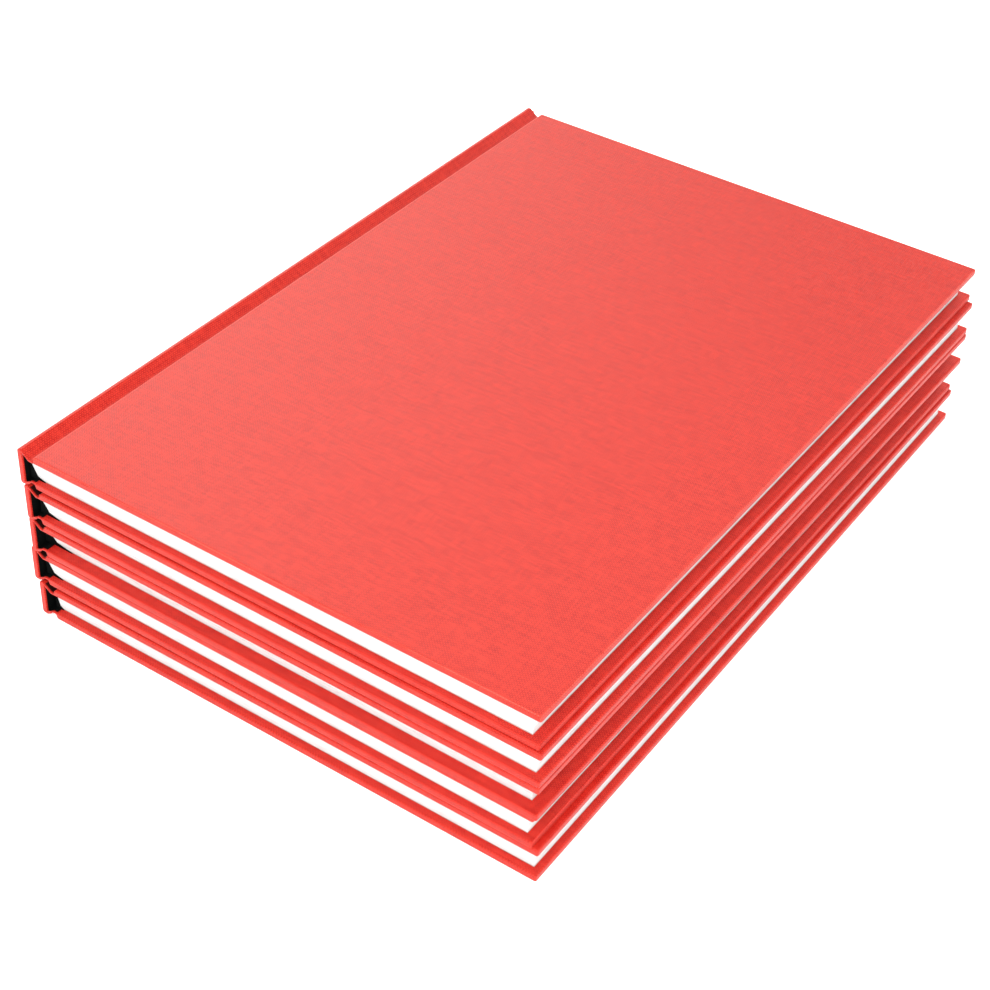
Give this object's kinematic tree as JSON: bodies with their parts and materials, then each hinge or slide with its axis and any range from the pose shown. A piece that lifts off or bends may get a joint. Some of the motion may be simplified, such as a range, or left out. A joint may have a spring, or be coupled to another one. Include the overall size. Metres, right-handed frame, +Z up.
{
  "type": "stack of notebooks",
  "caption": "Stack of large hardback notebooks in plain red book cloth, lying flat and slightly out of line, with a hinged front cover on the top one.",
  "frame": {"origin": "middle of the underside of the bottom book, on the surface that the stack lies on", "axes": "+Y along the spines from tail to head, +X from the spines to the fore-edges, +Z up through the stack"},
  "size_m": [0.2118, 0.3054, 0.072],
  "materials": {
    "red_cloth": "matte woven book cloth",
    "grey_board": "raw grey board",
    "spine_card": "thin card",
    "endpaper": "smooth white paper",
    "pages": "trimmed white page edges",
    "lining": "matte dark crepe lining"
  },
  "bodies": {
    "stack": {"case_cloth_1": "red_cloth", "front_board_1": "grey_board", "back_board_1": "grey_board", "spine_strip_1": "spine_card", "front_endpaper_1": "endpaper", "back_endpaper_1": "endpaper", "page_block_1": "pages", "spine_lining_1": "lining", "case_cloth_2": "red_cloth", "front_board_2": "grey_board", "back_board_2": "grey_board", "spine_strip_2": "spine_card", "front_endpaper_2": "endpaper", "back_endpaper_2": "endpaper", "page_block_2": "pages", "spine_lining_2": "lining", "case_cloth_3": "red_cloth", "front_board_3": "grey_board", "back_board_3": "grey_board", "spine_strip_3": "spine_card", "front_endpaper_3": "endpaper", "back_endpaper_3": "endpaper", "page_block_3": "pages", "spine_lining_3": "lining", "case_cloth_4": "red_cloth", "front_board_4": "grey_board", "back_board_4": "grey_board", "spine_strip_4": "spine_card", "front_endpaper_4": "endpaper", "back_endpaper_4": "endpaper", "page_block_4": "pages", "spine_lining_4": "lining", "case_cloth_5": "red_cloth", "back_board_5": "grey_board", "spine_strip_5": "spine_card", "front_flyleaf_5": "endpaper", "back_endpaper_5": "endpaper", "page_block_5": "pages", "spine_lining_5": "lining"},
    "front_cover": {"cover_cloth": "red_cloth", "cover_board": "grey_board", "cover_pastedown": "endpaper"}
  },
  "joints": [
    {"name": "front_cover_hinge", "type": "hinge", "parent": "stack", "child": "front_cover", "pos_m": [-0.1009, -0.00067, 0.0718], "axis": [-0.0033, -1, 0], "range_deg": [0, 178]}
  ]
}
